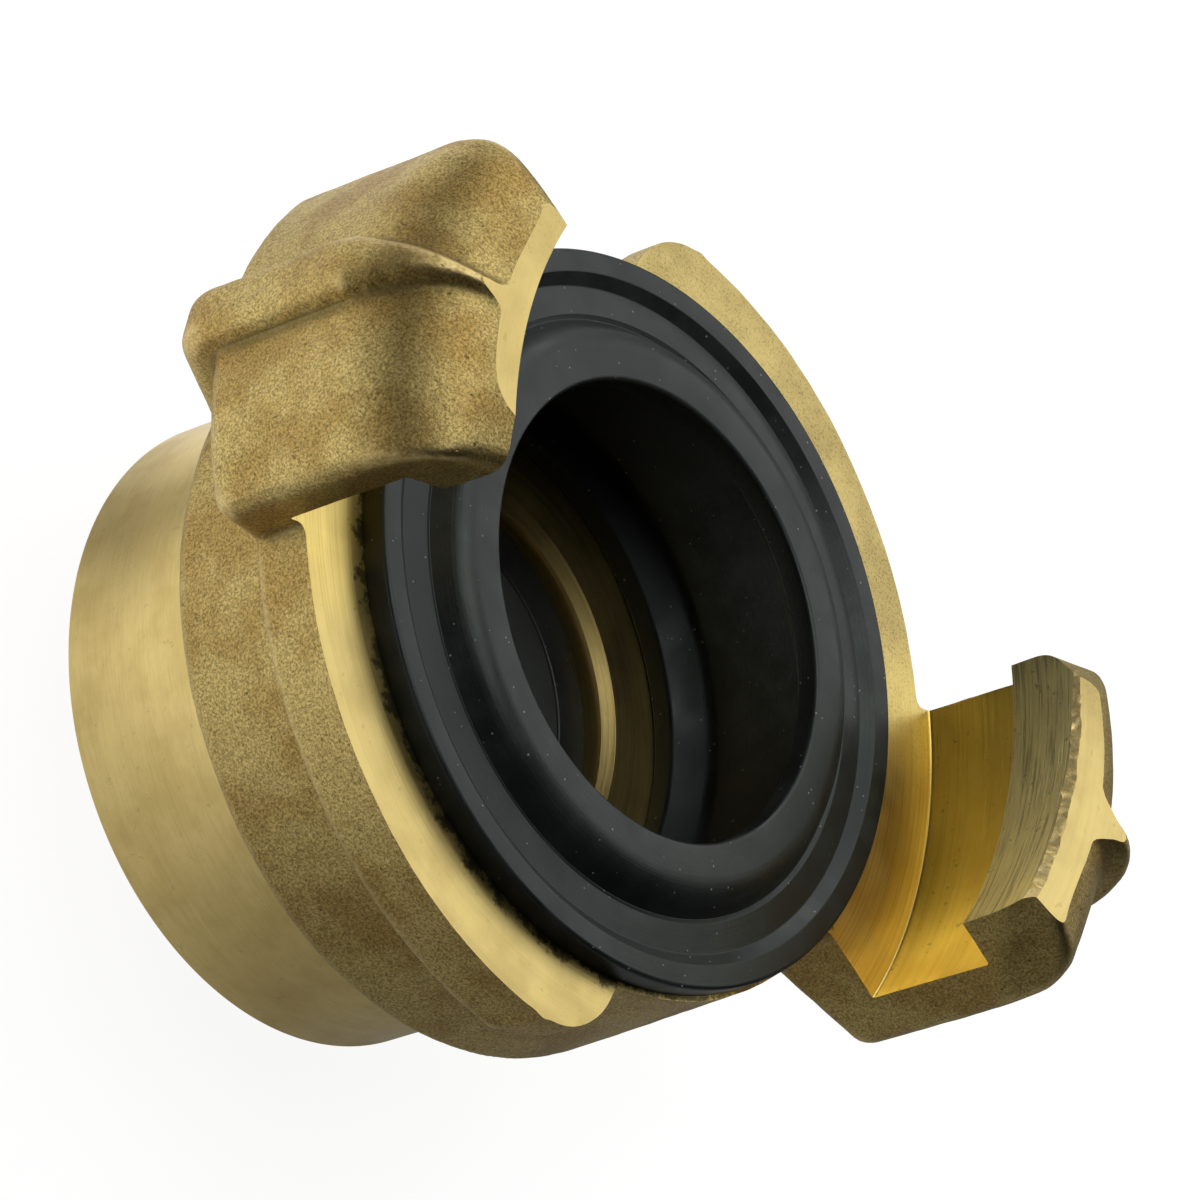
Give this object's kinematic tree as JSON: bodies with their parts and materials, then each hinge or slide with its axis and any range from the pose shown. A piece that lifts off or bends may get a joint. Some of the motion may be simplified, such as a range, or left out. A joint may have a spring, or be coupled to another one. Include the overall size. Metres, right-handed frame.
{
  "type": "claw hose coupling half",
  "caption": "Brass claw hose coupling half with an internal pipe thread, hooked claws, sloping wings and a moulded rubber face seal.",
  "frame": {"origin": "centre of the threaded end's flat face, on which the part stands", "axes": "+Z along the coupling axis, from the threaded end towards the claws; +X through the middle of one claw, so the claws lie on +X and -X and the wings run counter-clockwise from them, seen from the front"},
  "size_m": [0.0544, 0.043, 0.0322],
  "materials": {
    "body_brass": "sand-cast brass with machined faces",
    "seal_rubber": "moulded rubber, semi-matt",
    "gasket_rubber": "matt sheet rubber"
  },
  "bodies": {
    "root": {"coupling_body": "body_brass", "face_seal": "seal_rubber", "thread_gasket": "gasket_rubber"}
  },
  "joints": []
}
